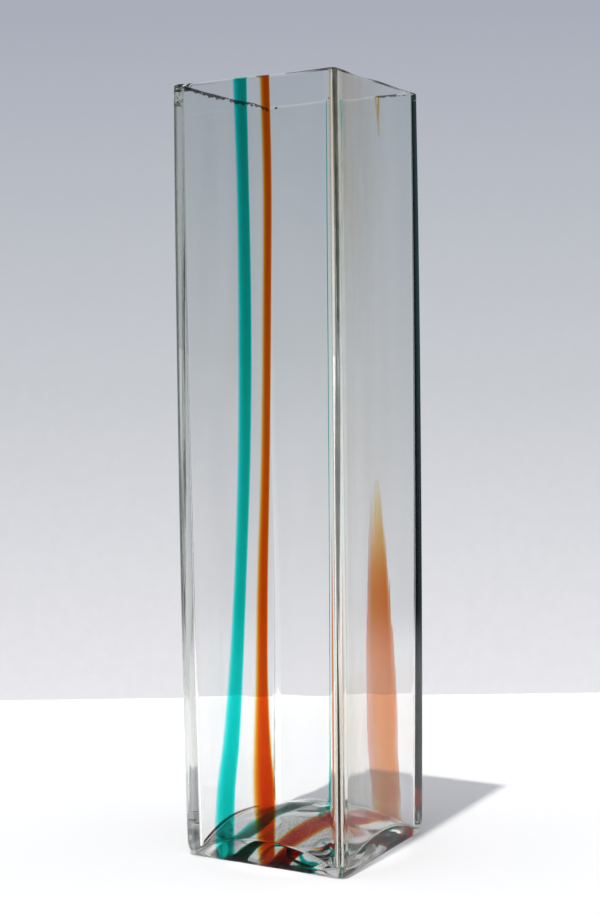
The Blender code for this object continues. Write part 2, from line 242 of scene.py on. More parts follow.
class StageSettings(bpy.types.PropertyGroup):
    """Floor, backdrop, light and camera."""

    eye: place("Eye", (0.40514, -0.72445, 0.25155), "Where the camera stands")
    yaw: angle("Yaw", 29.295, "Turn of the view from +Y towards -X")
    pitch: angle("Pitch", -3.405, "Tilt of the view above level")
    roll: angle("Roll", -0.741, "Roll of the camera")
    lens: bpy.props.FloatProperty(
        name="Lens", description="Focal length on the frame's 36 mm long side", default=63.40, min=1,
        subtype="DISTANCE_CAMERA")
    backdrop_distance: length("Backdrop distance", 1.2, "From the eye to the backdrop")
    backdrop_width: length("Backdrop width", 0.56, "Width of the backdrop")
    backdrop_height: length("Backdrop height", 1.6, "Height of the backdrop")
    backdrop_high: colour("Backdrop, high", (0.395, 0.417, 0.490), "Colour of the backdrop above the vase")
    backdrop_middle: colour("Backdrop, middle", (0.588, 0.605, 0.637), "Colour of the backdrop behind the vase")
    backdrop_low: colour("Backdrop, low", (0.835, 0.828, 0.865), "Colour of the backdrop at the floor")
    floor: colour("Floor", (0.975, 0.955, 0.935), "Colour of the floor")
    floor_glow: colour("Light through the base", (0.42, 0.42, 0.43), "Light that reaches the floor through the glass")
    sun_strength: number("Key light", 1.80, "Strength of the key light")
    sun_angle: angle("Key light size", 1.2, "Apparent size of the key light")
    sun_bearing: angle("Key light bearing", -91.6, "Direction that the key light comes from, from +X")
    sun_height: angle("Key light height", 74.6, "Height of the key light above level")
    sky_high: colour("Sky, high", (0.64, 0.68, 0.745), "Soft light from above")
    room_dark: colour("Room, dark", (0.09, 0.095, 0.10), "The room beside the backdrop and in front")
    room_bright: colour("Room, bright", (0.70, 0.71, 0.74), "The room at the left and right of the vase")
    room_pale: colour("Room, as seen", (0.80, 0.81, 0.83), "The room behind the floor, as the camera sees it")


def between(low, high, share):
    """The value a share of the way from low to high."""
    return low + (high - low) * share


def ease(share):
    """A smooth step: 0 below 0, 1 above 1, and a cubic between them."""
    share = np.clip(share, 0, 1)
    return share * share * (3 - 2 * share)


def waves(x, y, z, lowest, highest, count, seed, climb=2.0):
    """Unevenness round the vase, between about -1 and 1.

    A sum of sines of the bearing of a point round the Z axis, so that it closes on itself. Each sine has a
    whole number of periods round, a phase of its own, and slowly changes phase with height.
    """
    draw = np.random.default_rng(seed)
    bearing = np.arctan2(y, x)
    total = np.zeros(np.broadcast(x, y, z).shape)
    for _ in range(count):
        periods = draw.integers(lowest, highest + 1)
        phase, drift = draw.uniform(0, 2 * math.pi), draw.uniform(-climb, climb)
        total += np.sin(periods * bearing + phase + drift * 2 * math.pi * z / HEIGHT)
    return total / math.sqrt(count)


def ripples(x, y, length_of_wave, count, seed):
    """Unevenness of a level surface, between about -1 and 1: a sum of sines that run in several directions."""
    draw = np.random.default_rng(seed)
    total = np.zeros(np.broadcast(x, y).shape)
    for _ in range(count):
        bearing, phase = draw.uniform(0, 2 * math.pi, 2)
        pitch = length_of_wave * draw.uniform(0.6, 1.6)
        total += np.sin((x * math.cos(bearing) + y * math.sin(bearing)) * 2 * math.pi / pitch + phase)
    return total / math.sqrt(count)


class Vase:
    """The form of the vessel, worked out from its sizes."""

    def __init__(self, sizes):
        self.size = sizes
        self.springing = sizes.height - sizes.lip_rise
        self.foot_outer = self.outer_half(0) - sizes.edge_inset
        self.foot_inner = self.foot_outer - sizes.foot_width
        self.foot_corner = sizes.foot_corner
        self.dome_edge = self.foot_inner - sizes.shoulder

    def outer_half(self, z):
        """Half the outer width at a height: a straight taper with a parabolic bow."""
        size = self.size
        share = z / size.height
        return between(size.base_width, size.rim_width, share) / 2 + size.bow * 4 * share * (1 - share)

    def inner_half(self, z):
        """Half the inner width at a height: the wall thins from the base to the rim."""
        return self.outer_half(z) - between(self.size.base_wall, self.size.rim_wall, z / self.size.height)

    def outer_corner(self, z):
        """Radius of the outer vertical edges at a height."""
        return between(self.size.base_corner, self.size.rim_corner, z / self.size.height)

    def inner_corner(self, z):
        """Radius of the inner vertical edges at a height."""
        return between(self.size.low_inner_corner, self.size.inner_corner, z / self.size.height)

    def lean(self, z):
        """How far the inside stands back at a height: from nothing at the base to all at the rim."""
        return z / self.size.height * self.size.lean

    def skin_wave(self, x, y, z):
        """Slow unevenness of the outer wall, which fades out at the foot and the lip."""
        fade = ease(z / (4 * self.size.edge_rise)) * ease((self.springing - z) / self.size.edge_rise)
        return self.size.skin_wave * fade * waves(x, y, z, 3, 9, 7, seed=4)

    def wall_wave(self, x, y, z):
        """Unevenness of the inner wall: slow waves and fine upright cords, which fade out at the lip."""
        fade = ease((self.springing - z) / self.size.edge_rise)
        slow = self.size.wave * waves(x, y, z, 3, 14, 9, seed=11)
        fine = self.size.cords * waves(x, y, z, 60, 190, 30, seed=23, climb=0.6)
        return fade * (slow + fine)

    def rim_wander(self, x, y, z):
        """How far the rim wanders up and down: slow waves, and short rough ones on the left wall."""
        size = self.size
        slow = size.rim_wander * waves(x, y, 0, 2, 11, 7, seed=31)
        left = ease((-x - 0.55 * size.rim_width / 2) / (0.35 * size.rim_width / 2))
        rough = size.rim_chips * waves(x, y, 0, 40, 150, 24, seed=37)
        fade = ease((z - self.springing + size.edge_rise) / size.edge_rise)
        return fade * (slow + left * np.minimum(rough, 0))

    def floor_height(self, x, y):
        """The inner floor: a paraboloid, highest in the middle and lowest in the four corners."""
        size = self.size
        reach = self.inner_half(size.floor_corner)
        drop = (size.floor_crown - size.floor_corner) * (x * x + y * y) / (2 * reach * reach)
        fade = ease((reach - np.maximum(np.abs(x), np.abs(y))) / size.edge_rise)
        return size.floor_crown - drop + fade * size.floor_wave * ripples(x, y, 0.024, 8, seed=43)

    def square_reach(self, x, y):
        """Half width of the rounded square, with the foot's corners, that passes through a point."""
        radius = self.foot_corner
        x, y = np.abs(x), np.abs(y)
        slant = np.abs(x - y)
        corner = radius + (x + y - np.sqrt(2 * radius**2 - np.minimum(slant, radius) ** 2)) / 2
        return np.where(slant < radius, corner, np.maximum(x, y))

    def underside_height(self, x, y):
        """The underside: a small step up from the flat foot ring, then a low dome with a cosine's profile."""
        size = self.size
        reach = self.square_reach(x, y)
        step = size.ring_rise * ease((self.foot_inner - reach) / size.shoulder)
        inside = np.clip(1 - np.hypot(x, y) / self.dome_edge, 0, 1)
        dome = (size.punt - size.ring_rise) * (1 - np.cos(inside * math.pi)) / 2
        return step + dome

    def edge_point(self, share):
        """A point of the rounded base edge, from the foot (0) up to the wall (1): inset and height."""
        turn = np.asarray(share) * math.pi / 2
        return self.size.edge_inset * (1 - np.sin(turn)), self.size.edge_rise * (1 - np.cos(turn))

    def lip_point(self, turn):
        """A point of the rounded lip at an angle from its outer side: distance in from the wall and height."""
        size = self.size
        return size.rim_wall * (1 - np.cos(turn)) / 2, self.springing + size.lip_rise * np.sin(turn)


def square_table(side_steps, corner_steps):
    """A unit rounded square, anticlockwise from the low end of the +X side.

    A point is the flat half width times the first pair of columns, plus the corner radius times the second
    pair, which is also the outward direction there.
    """
    along = np.sin(np.linspace(-1, 1, side_steps + 1) * 1.2) / math.sin(1.2)
    turn = np.linspace(0, math.pi / 2, corner_steps + 1)[1:-1]
    ones, ends = np.ones(len(along)), np.ones(len(turn))
    flat_x, flat_y = np.concatenate([ones, ends]), np.concatenate([along, ends])
    round_x = np.concatenate([ones, np.cos(turn)])
    round_y = np.concatenate([0 * ones, np.sin(turn)])
    quarters = []
    for _ in range(4):
        quarters.append(np.array([flat_x, flat_y, round_x, round_y]))
        flat_x, flat_y = -flat_y, flat_x
        round_x, round_y = -round_y, round_x
    return np.concatenate(quarters, axis=1)


def squares(half, radius, table):
    """Rounded squares, one for each half width and radius: arrays of x and y, a row for each."""
    flat = np.asarray(half)[:, None] - np.asarray(radius)[:, None]
    radius = np.asarray(radius)[:, None]
    return flat * table[0] + radius * table[2], flat * table[1] + radius * table[3]


def put_mesh(name, points, faces, material):
    """A smooth mesh object from arrays of points and faces."""
    mesh = bpy.data.meshes.new(name)
    mesh.from_pydata(points.tolist(), [], faces)
    mesh.shade_smooth()
    mesh.materials.append(material)
    made = bpy.data.objects.new(name, mesh)
    bpy.context.scene.collection.objects.link(made)
    return made


def tube_faces(rows, around, first_cap, last_cap):
    """Faces of a grid that closes on itself sideways, with a fan to a point at each end."""
    row, column = np.meshgrid(np.arange(rows - 1), np.arange(around), indexing="ij")
    low, following = row * around, (column + 1) % around
    quads = np.stack([low + column, low + following, low + around + following, low + around + column], axis=-1)
    column = np.arange(around)
    following = (column + 1) % around
    top = (rows - 1) * around
    first = np.stack([following, column, np.full(around, first_cap)], axis=-1)
    last = np.stack([top + column, top + following, np.full(around, last_cap)], axis=-1)
    return quads.reshape(-1, 4).tolist() + first.tolist() + last.tolist()


def capped_tube(name, grid, first_point, last_point, material):
    """A closed body from a grid of points, rows by points around, and a point at each end."""
    rows, around, _ = grid.shape
    points = np.concatenate([grid.reshape(-1, 3), [first_point, last_point]])
    faces = tube_faces(rows, around, rows * around, rows * around + 1)
    return put_mesh(name, points, faces, material)


def stack(x, y, z):
    """Points from arrays of coordinates."""
    return np.stack(np.broadcast_arrays(x, y, z), axis=-1)


def level_rows(vase, half, table, height):
    """Rows of rounded squares with the foot's corners, each point at the height that a function gives."""
    x, y = squares(half, np.full(len(half), vase.foot_corner), table)
    return stack(x, y, height(x, y))


def underside_rows(vase, table):
    """The low dome of the underside, the step at its edge and the flat foot ring, from the middle out."""
    share = np.linspace(0, 1, DOME_ROWS + 1)[1:]
    half = vase.dome_edge * share
    x, y = squares(half, half * between(1, vase.foot_corner / vase.dome_edge, share), table)
    dome = stack(x, y, vase.underside_height(x, y))
    half = between(vase.dome_edge, vase.foot_inner, np.linspace(0, 1, STEP_ROWS + 1)[1:])
    step = level_rows(vase, half, table, vase.underside_height)
    half = between(vase.foot_inner, vase.foot_outer, np.linspace(0, 1, RING_ROWS + 1)[1:])
    return [dome, step, level_rows(vase, half, table, lambda x, y: 0)]


def outer_rows(vase, table):
    """The rolled base edge and the outer side of the walls, from the foot up."""
    size = vase.size
    inset, z = vase.edge_point(np.linspace(0, 1, EDGE_ROWS + 1)[1:])
    radius = between(vase.foot_corner, vase.outer_corner(size.edge_rise), ease(z / size.edge_rise))
    x, y = squares(vase.outer_half(z) - inset, radius, table)
    edge = stack(x, y, z[:, None])
    climb = np.append(np.linspace(0, 1, WALL_ROWS + 1)[1:-1], (1 - LIP_GAP, 1.0))
    z = between(size.edge_rise, vase.springing, climb)
    x, y = squares(vase.outer_half(z), vase.outer_corner(z), table)
    level = z[:, None]
    out = vase.skin_wave(x, y, level)
    wall = stack(x + out * table[2], y + out * table[3], level + vase.rim_wander(x, y, level))
    return [edge, wall]


def lip_rows(vase, table):
    """The rounded lip: half an ellipse from the outer side over to the inner side."""
    turn = np.linspace(0, math.pi, LIP_ROWS + 1)[1:]
    inset, z = vase.lip_point(turn)
    share = (1 - np.cos(turn)) / 2
    radius = between(vase.outer_corner(vase.springing), vase.inner_corner(vase.springing), share)
    x, y = squares(vase.outer_half(vase.springing) - inset, radius, table)
    level = z[:, None]
    lean = vase.lean(share[:, None] * vase.size.height)
    return [stack(x, y + lean, level + vase.rim_wander(x, y, level))]


def inner_rows(vase, table):
    """The inner side of the walls, from the lip down to the height of the floor's crown."""
    fall = np.append(LIP_GAP, np.linspace(0, 1, WALL_ROWS + 1)[1:])
    z = between(vase.springing, vase.size.floor_crown, fall)
    x, y = squares(vase.inner_half(z), vase.inner_corner(z), table)
    level = z[:, None]
    out = vase.wall_wave(x, y, level)
    return [stack(x + out * table[2], y + out * table[3] + vase.lean(level), level + vase.rim_wander(x, y, level))]


def floor_rows(vase, table):
    """The fillet at the foot of the inner wall, and the domed floor, in to the middle."""
    size = vase.size
    wall, corner = vase.inner_half(size.floor_corner), vase.inner_corner(size.floor_crown)
    lean = vase.lean(size.floor_crown)
    turn = np.linspace(0, math.pi / 2, FILLET_ROWS + 1)
    half = wall - size.floor_fillet * (1 - np.cos(turn))
    x, y = squares(half, np.full(len(half), corner), table)
    out = vase.wall_wave(x, y, size.floor_crown) * np.cos(turn)[:, None]
    rise = size.floor_fillet * (1 - np.sin(turn))[:, None]
    x, y = x + out * table[2], y + out * table[3] + lean
    fillet = stack(x, y, vase.floor_height(x, y) + rise)
    edge = wall - size.floor_fillet
    share = np.linspace(1, 0, DOME_ROWS + 1)[1:-1]
    x, y = squares(edge * share, edge * share * between(1, corner / edge, share), table)
    return [fillet, stack(x, y + lean, vase.floor_height(x, y + lean))]


def vessel_grid(vase, table):
    """Points of the whole skin, from the middle of the underside round to the middle of the inner floor.

    Every row is a rounded square. Its half width and corner radius follow the profile of the wall, and its
    points lie at a level, or drape over the dome of the underside or of the floor.
    """
    stretches = (underside_rows, outer_rows, lip_rows, inner_rows, floor_rows)
    return np.concatenate([rows for stretch in stretches for rows in stretch(vase, table)])


class SkinPath:
    """The line down the front wall, under the base and up the back wall, which the strands follow.

    A place on it is its distance from the start, on the front lip. For any x, the path gives the skin's y and
    z there, and the way into the glass is the path's direction turned by a quarter.
    """

    LIP_TURN = 0.36 * math.pi
    STEP = 0.0002

    def __init__(self, vase):
        size = vase.size
        self.vase = vase
        wall = vase.springing - size.edge_rise
        lip = size.lip_rise * 1.2
        edge = size.edge_rise + size.edge_inset
        under = 2 * vase.foot_outer
        lengths = [lip, wall, edge, under, edge, wall, lip]
        self.marks = np.concatenate([[0], np.cumsum(lengths)])
        self.total = self.marks[-1]

    def share(self, zone, at):
        """How far along a zone of the path a place is."""
        return np.clip((at - self.marks[zone]) / (self.marks[zone + 1] - self.marks[zone]), 0, 1)

    def wall_height(self, at):
        """Height on the wall for a place on either wall's stretch."""
        vase = self.vase
        front = between(vase.springing, vase.size.edge_rise, self.share(1, at))
        back = between(vase.size.edge_rise, vase.springing, self.share(5, at))
        return np.where(at < self.total / 2, front, back)

    def place_of_height(self, z, back):
        """The place on the front or back wall at a height."""
        vase = self.vase
        share = (z - vase.size.edge_rise) / (vase.springing - vase.size.edge_rise)
        return between(self.marks[5], self.marks[6], share) if back else between(self.marks[2], self.marks[1], share)

    def point(self, x, at):
        """The skin's y and z."""
        vase = self.vase
        front = at < self.total / 2
        side = np.where(front, -1.0, 1.0)
        height = self.wall_height(at)
        half = vase.outer_half(height)
        wall_y = side * (half + vase.skin_wave(x, side * half, height))
        wall_z = height + vase.rim_wander(x, side * half, height)

        turn = self.LIP_TURN * np.where(front, 1 - self.share(0, at), self.share(6, at))
        inset, lip_z = vase.lip_point(turn)
        rim = vase.outer_half(vase.springing)
        lip_y = side * (rim - inset)
        lip_z = lip_z + vase.rim_wander(x, side * rim, vase.springing)

        inset, edge_z = vase.edge_point(np.where(front, 1 - self.share(2, at), self.share(4, at)))
        edge_y = side * (vase.outer_half(edge_z) - inset)

        under_y = between(-vase.foot_outer, vase.foot_outer, self.share(3, at))
        under_z = vase.underside_height(x, under_y)

        marks = self.marks
        zone = np.minimum(np.searchsorted(marks, at, side="right") - 1, 6)
        lips, walls, edges = (zone == 0) | (zone == 6), (zone == 1) | (zone == 5), (zone == 2) | (zone == 4)
        y = np.where(lips, lip_y, np.where(walls, wall_y, np.where(edges, edge_y, under_y)))
        z = np.where(lips, lip_z, np.where(walls, wall_z, np.where(edges, edge_z, under_z)))
        return y, z

    def inward(self, x, at):
        """The direction into the glass, in y and z."""
        y_before, z_before = self.point(x, at - self.STEP)
        y_after, z_after = self.point(x, at + self.STEP)
        along_y, along_z = y_after - y_before, z_after - z_before
        size = np.hypot(along_y, along_z) + 1e-12
        return -along_z / size, along_y / size

    def height_share(self, at):
        """Height of the place on the path, as a share of the vase's height."""
        _, z = self.point(np.zeros_like(at), at)
        return z / self.vase.size.height


def smooth_rows(rows, at):
    """Columns of a table at given places of its first column, on a smooth curve through its rows."""
    table = np.array(rows)
    knots = table[:, 0]
    at = np.clip(at, knots[0], knots[-1])
    i = np.clip(np.searchsorted(knots, at, side="right") - 1, 0, len(knots) - 2)
    span = knots[i + 1] - knots[i]
    t = (at - knots[i]) / span
    columns = []
    for values in table[:, 1:].T:
        slope = np.gradient(values, knots)
        rise = (2 * t + 1) * (1 - t) ** 2 * values[i] + t * t * (3 - 2 * t) * values[i + 1]
        bend = t * (1 - t) ** 2 * slope[i] - t * t * (1 - t) * slope[i + 1]
        columns.append(rise + bend * span)
    return columns


def course(path, at, front, back):
    """Place, width and thickness shares along the path: from the tables on the walls, blended underneath."""
    share = path.height_share(at)
    blend = ease(path.share(3, at))
    low_front, low_back = smooth_rows(front, np.zeros_like(at)), smooth_rows(back, np.zeros_like(at))
    columns = []
    for k, (ahead, behind) in enumerate(zip(smooth_rows(front, share), smooth_rows(back, share))):
        under = between(low_front[k], low_back[k], blend)
        column = np.where(at < path.marks[3], ahead, np.where(at > path.marks[4], behind, under))
        columns.append(column)
    return columns


def strand_grid(path, at, centre, width, thickness, depth, wedge_from, around=72):
    """Points of a ribbon that lies just under the skin.

    Across it runs a cosine; its outer side keeps to the skin at a depth, and its inner side bulges by the
    thickness times a flat-topped curve that rises slowly on the left and fast on the right. Fine grooves run
    along it. Past a place along the path the bulge turns into a wedge that is thickest on the right.
    """
    turn = np.linspace(2 * math.pi, 0, around, endpoint=False)
    across = np.cos(turn)
    swell = ease((1 + across) / 0.9) * ease((1 - across) / 0.5) ** 0.75
    groove = 1 + sum(deep * np.sin(across * turns + phase) for deep, turns, phase in GROOVES)
    at, centre, width, thickness = (np.asarray(a)[:, None] for a in (at, centre, width, thickness))
    wedge = between(1, 0.10 + 0.90 * np.clip((1 + across) / 1.6, 0, 1) ** 1.3, ease((at - wedge_from) / 0.03))
    inner = np.where(np.sin(turn) > 0, 1.0, 0.0) * swell * groove * wedge
    x = centre + width / 2 * across
    y, z = path.point(x, at)
    into_y, into_z = path.inward(x, at)
    sunk = depth + thickness * inner
    return stack(x, y + into_y * sunk, z + into_z * sunk)


def course_map(made, at, around):
    """A UV map that runs across the strand and along it, in metres."""
    turn = np.linspace(2 * math.pi, 0, around, endpoint=False)
    across, along = np.broadcast_arrays(np.cos(turn) / 2 + 0.5, np.asarray(at)[:, None])
    ends = [[0.5, at[0]], [0.5, at[-1]]]
    values = np.concatenate([np.stack([across, along], axis=-1).reshape(-1, 2), ends])
    mesh = made.data
    corners = np.empty(len(mesh.loops), dtype=np.int32)
    mesh.loops.foreach_get("vertex_index", corners)
    mesh.uv_layers.new(name="course").data.foreach_set("uv", values[corners].astype(np.float32).ravel())


def strand(name, path, at, shares, nominal, depth, material, wedge_from=9.0):
    """A closed strand along the path."""
    centre, width, thickness = shares
    width, thickness = np.maximum(width, 0.04), np.maximum(thickness, 0.003)
    grid = strand_grid(path, at, centre * path.vase.size.base_width / 2, width * nominal[0],
                       thickness * nominal[1], depth, wedge_from)
    made = capped_tube(name, grid, grid[0].mean(axis=0), grid[-1].mean(axis=0), material)
    course_map(made, at, grid.shape[1])
    return made


def path_places(path, first, last, wall_step=0.004, fine_step=0.0006):
    """Places along the path: fine at the lips, the edges and the underside, and coarser on the walls."""
    marks = path.marks
    stretches = [(0, 0.0001, fine_step), (1, 0, wall_step), (2, 0, fine_step), (3, 0, fine_step),
                 (4, 0, fine_step), (5, 0, wall_step), (6, 0, fine_step)]
    places = [np.arange(marks[zone] + start, marks[zone + 1], step) for zone, start, step in stretches]
    places = np.concatenate(places)
    inside = places[(places > first) & (places < last)]
    return np.concatenate([[first], inside, [last]])


class Wire:
    """A socket of a node, which takes part in sums as Math nodes."""

    def __init__(self, graph, socket):
        self.graph = graph
        self.socket = socket

    def math(self, operation, *others):
        """A Math node of this socket and others."""
        inputs = dict(enumerate((self,) + others))
        return self.graph.add("ShaderNodeMath", {"operation": operation}, inputs)

    def __add__(self, other):
        return self.math("ADD", other)

    def __sub__(self, other):
        return self.math("SUBTRACT", other)

    def __mul__(self, other):
        return self.math("MULTIPLY", other)

    def __truediv__(self, other):
        return self.math("DIVIDE", other)

    def __rsub__(self, other):
        return self.graph.add("ShaderNodeMath", {"operation": "SUBTRACT"}, {0: other, 1: self})

    __radd__ = __add__
    __rmul__ = __mul__

    def ramp(self, low, high):
        """This value mapped smoothly from 0 at low to 1 at high."""
        settings = {"interpolation_type": "SMOOTHSTEP"}
        return self.graph.add("ShaderNodeMapRange", settings, {"Value": self, "From Min": low, "From Max": high})

    def fall(self, low, high):
        """This value mapped smoothly from 1 at low to 0 at high."""
        return 1 - self.ramp(low, high)

    def band(self, start, full, last, end):
        """This value mapped smoothly to 1 from full to last, and to 0 before start and after end."""
        return self.ramp(start, full) * self.fall(last, end)

    def output(self, name):
        """Another output of the same node."""
        return Wire(self.graph, self.socket.node.outputs[name])

    def output_at(self, index):
        """Another output of the same node, by its number."""
        return Wire(self.graph, self.socket.node.outputs[index])


class Graph:
    """The nodes of one material or world."""

    def __init__(self, owner):
        owner.use_nodes = True
        self.tree = owner.node_tree
        self.tree.nodes.clear()

    def add(self, kind, settings=None, inputs=None):
        """A node: its type, its settings, and the values or links of its sockets. Returns its first output."""
        node = self.tree.nodes.new(kind)
        for name, value in (settings or {}).items():
            if name == "stops":
                self.fill(node.color_ramp, value)
            else:
                setattr(node, name, value)
        for key, value in (inputs or {}).items():
            if isinstance(value, Wire):
                self.tree.links.new(value.socket, node.inputs[key])
            else:
                node.inputs[key].default_value = value
        return Wire(self, next((s for s in node.outputs if s.enabled), None)) if node.outputs else None

    @staticmethod
    def fill(ramp, stops):
        """Sets a ramp's stops, each a place and a colour."""
        while len(ramp.elements) < len(stops):
            ramp.elements.new(1)
        for element, (at, shade) in zip(ramp.elements, stops):
            element.position = at
            element.color = (*shade, 1)

    def coordinates(self, output):
        """Texture coordinates of a kind."""
        return self.add("ShaderNodeTexCoord").output(output)

    def axes(self, vector):
        """The three parts of a vector."""
        parts = self.add("ShaderNodeSeparateXYZ", None, {"Vector": vector})
        return parts.output("X"), parts.output("Y"), parts.output("Z")

    def mapped(self, vector, scale):
        """A vector with each of its parts scaled."""
        return self.add("ShaderNodeMapping", None, {"Vector": vector, "Scale": scale})

    def noise(self, vector, scale, detail=2.0):
        """Noise between about 0 and 1."""
        return self.add("ShaderNodeTexNoise", None, {"Vector": vector, "Scale": scale, "Detail": detail})

    def mix(self, factor, low, high, blend="MIX"):
        """A colour between two, or another blend of them."""
        low, high = (c if isinstance(c, Wire) else (*c, 1) for c in (low, high))
        settings = {"data_type": "RGBA", "blend_type": blend}
        return self.add("ShaderNodeMix", settings, {0: factor, 6: low, 7: high}).output_at(2)


def glass_material(name, ior, through, density):
    """Smooth glass with a plain absorption; returns the material, its graph and its shader node."""
    material = bpy.data.materials.new(name)
    graph = Graph(material)
    surface = graph.add("ShaderNodeBsdfPrincipled", None, {
        "IOR": ior, "Transmission Weight": 1.0, "Roughness": 0.0, "Specular Tint": (0.15, 0.15, 0.15, 1)})
    volume = graph.add("ShaderNodeVolumeAbsorption", None, {"Color": (*through, 1), "Density": density})
    graph.add("ShaderNodeOutputMaterial", None, {"Surface": surface, "Volume": volume})
    return material, graph, surface.socket.node


def feed(graph, node, name, wire):
    """Links a value to a socket of a node."""
    graph.tree.links.new(wire.socket, node.inputs[name])


def clear_glass(colours):
    """Clear glass: fine upright cords and a breath of orange peel in its skin, rubbed at the foot and rim."""
    material, graph, shader = glass_material("clear_glass", 1.5, colours.clear, colours.clear_density)
    place = graph.coordinates("Object")
    _, _, z = graph.axes(place)
    rubbed = graph.noise(place, 900.0).ramp(0.45, 0.75) * z.fall(0.0004, 0.0035)
    feed(graph, shader, "Roughness", rubbed * 0.25)
    cords = graph.noise(graph.mapped(place, (1.0, 1.0, 0.02)), 420.0, 3.0)
    peel = graph.noise(place, 160.0)
    bump = graph.add("ShaderNodeBump", None, {"Strength": 0.25, "Distance": 0.00004, "Height": cords + peel * 0.6})
    feed(graph, shader, "Normal", bump)
    feed(graph, shader, "Base Color", skin_tint(graph, place))
    feed(graph, shader, "Emission Color", edge_light(graph, place))
    shader.inputs["Emission Strength"].default_value = 1.0
    return material


def edge_light(graph, place):
    """Light that wanders inside the walls and leaves at the upright edges.

    It is a faint grey, paler low on the left. By the front edge of the right wall it is stronger and speckled,
    and by the back edge of the right wall it is a dark teal.
    """
    x, y, z = graph.axes(place)
    low_left = z.fall(0.060, 0.085) * x.fall(-0.041, -0.039)
    faint = graph.mix(z.ramp(0.18, 0.30), EDGE_LOW, EDGE_HIGH)
    corner = x.math("ABSOLUTE").math("MINIMUM", y.math("ABSOLUTE")).ramp(0.0395, 0.0412)
    glow = graph.mix(corner, BLACK, graph.mix(low_left, faint, EDGE_LOW_LEFT))
    specks = graph.noise(graph.mapped(place, (1.0, 1.0, 0.10)), 900.0).ramp(0.25, 0.75)
    grey = graph.mix(z.ramp(0.05, 0.20), SPECK_LOW, graph.mix(specks, SPECK_DARK, SPECK_PALE))
    teal = graph.mix(z.ramp(0.12, 0.30), TEAL_LOW, TEAL_HIGH)
    right = (x + y).ramp(0.0002, 0.0012) * x.ramp(0.040, 0.042)
    glow = graph.mix(right * y.fall(-0.0405, -0.0385), glow, grey)
    return graph.mix(right * y.ramp(0.0385, 0.0405), glow, teal)


def skin_tint(graph, place):
    """Tint of the clear skin: smoke, film, darker low on the right wall, and painted shade at the left edge,
    underside and rim.
    """
    x, y, z = graph.axes(place)
    shade = smoke(graph, place, y, z)
    cloud, warm = film(graph, place, x, y, z)
    shade = graph.mix(cloud, shade, warm)
    # Painted shade: a dark line down the front-left corner of the skin, where the glass edge looks dark
    edge_shade = x.fall(-0.0444, -0.0436) * y.fall(-0.0432, -0.0420) * z.ramp(0.075, 0.140)
    shade = graph.mix(edge_shade, shade, EDGE_SHADE_TINT)
    # A darker, warmer tint low on the right wall
    low_right = x.ramp(0.040, 0.042) * z.band(0.028, 0.036, 0.086, 0.104)
    shade = graph.mix(low_right, shade, graph.mix(1.0, shade, LOW_RIGHT_TINT, "MULTIPLY"))
    # Painted shade on the underside of the base, broken up by a fine grain
    reach = x.math("ABSOLUTE").math("MAXIMUM", y.math("ABSOLUTE"))
    underside = z.fall(0.0085, 0.0095) * reach.fall(0.037, 0.041)
    grain = graph.noise(place, 1400.0).ramp(0.30, 0.70)
    shade = graph.mix(underside, shade, graph.mix(grain, UNDERSIDE_SHADE_DARK, UNDERSIDE_SHADE_PALE))
    return graph.mix(rim_shade(graph, place, x, y, z), shade, RIM_SHADE)


def smoke(graph, place, y, z):
    """The glass itself: faintly uneven, smoky towards the rim, and more so in the front wall."""
    uneven = graph.noise(graph.mapped(place, (1.0, 1.0, 0.25)), 60.0, 3.0).ramp(0.35, 0.75)
    uneven = graph.mix(uneven, WHITE, UNEVEN_TINT)
    smoky = graph.mix(z.ramp(0.18, 0.40), WHITE, RIM_SMOKE)
    front = graph.mix(z.ramp(0.02, 0.42), WHITE, FRONT_SMOKE)
    front = graph.mix(y.ramp(-0.042, -0.038), front, WHITE)
    return graph.mix(1.0, graph.mix(1.0, uneven, smoky, "MULTIPLY"), front, "MULTIPLY")


def film(graph, place, x, y, z):
    """A warm film on the right wall: how thick it is, cloudy towards its front edge, and its tint by height."""
    cloudy = graph.noise(graph.mapped(place, (1.0, 1.0, 0.12)), 90.0, 4.0).ramp(0.10, 0.60)
    warm = graph.mix(z.ramp(0.24, 0.36), graph.mix(z.ramp(0.05, 0.16), FILM_LOW, FILM_MIDDLE), FILM_HIGH)
    return x.ramp(0.040, 0.044) * y.fall(-0.046, 0.020) * cloudy, warm


def rim_shade(graph, place, x, y, z):
    """Painted shade where the polished rim looks dark: all of the left and right walls, two runs of the front, dashes
    at the back.
    """
    other_side = [-distance for distance in reversed(RIM_INSIDE)]
    dashes = graph.noise(graph.mapped(place, (1.0, 1.0, 0.4)), 170.0, 3.0).ramp(0.44, 0.58)
    runs = x.band(0.002, 0.003, 0.009, 0.010) + x.band(0.018, 0.020, 0.042, 0.043) + x.fall(-0.036, -0.026) * 0.5
    front = runs * y.fall(*other_side)
    back = y.ramp(*RIM_INSIDE) * dashes * x.ramp(0.016, 0.022)
    right = x.ramp(*RIM_INSIDE)
    thin = z.ramp(HEIGHT - 0.0012, HEIGHT - 0.0007) * right.math("MAXIMUM", front.math("MAXIMUM", back))
    ragged = z + graph.noise(graph.mapped(place, (0.0, 1.0, 0.3)), 260.0, 4.0) * 0.0060
    left = x.fall(*other_side) * ragged.ramp(HEIGHT + 0.0012, HEIGHT + 0.0014)
    return thin.math("MAXIMUM", left)


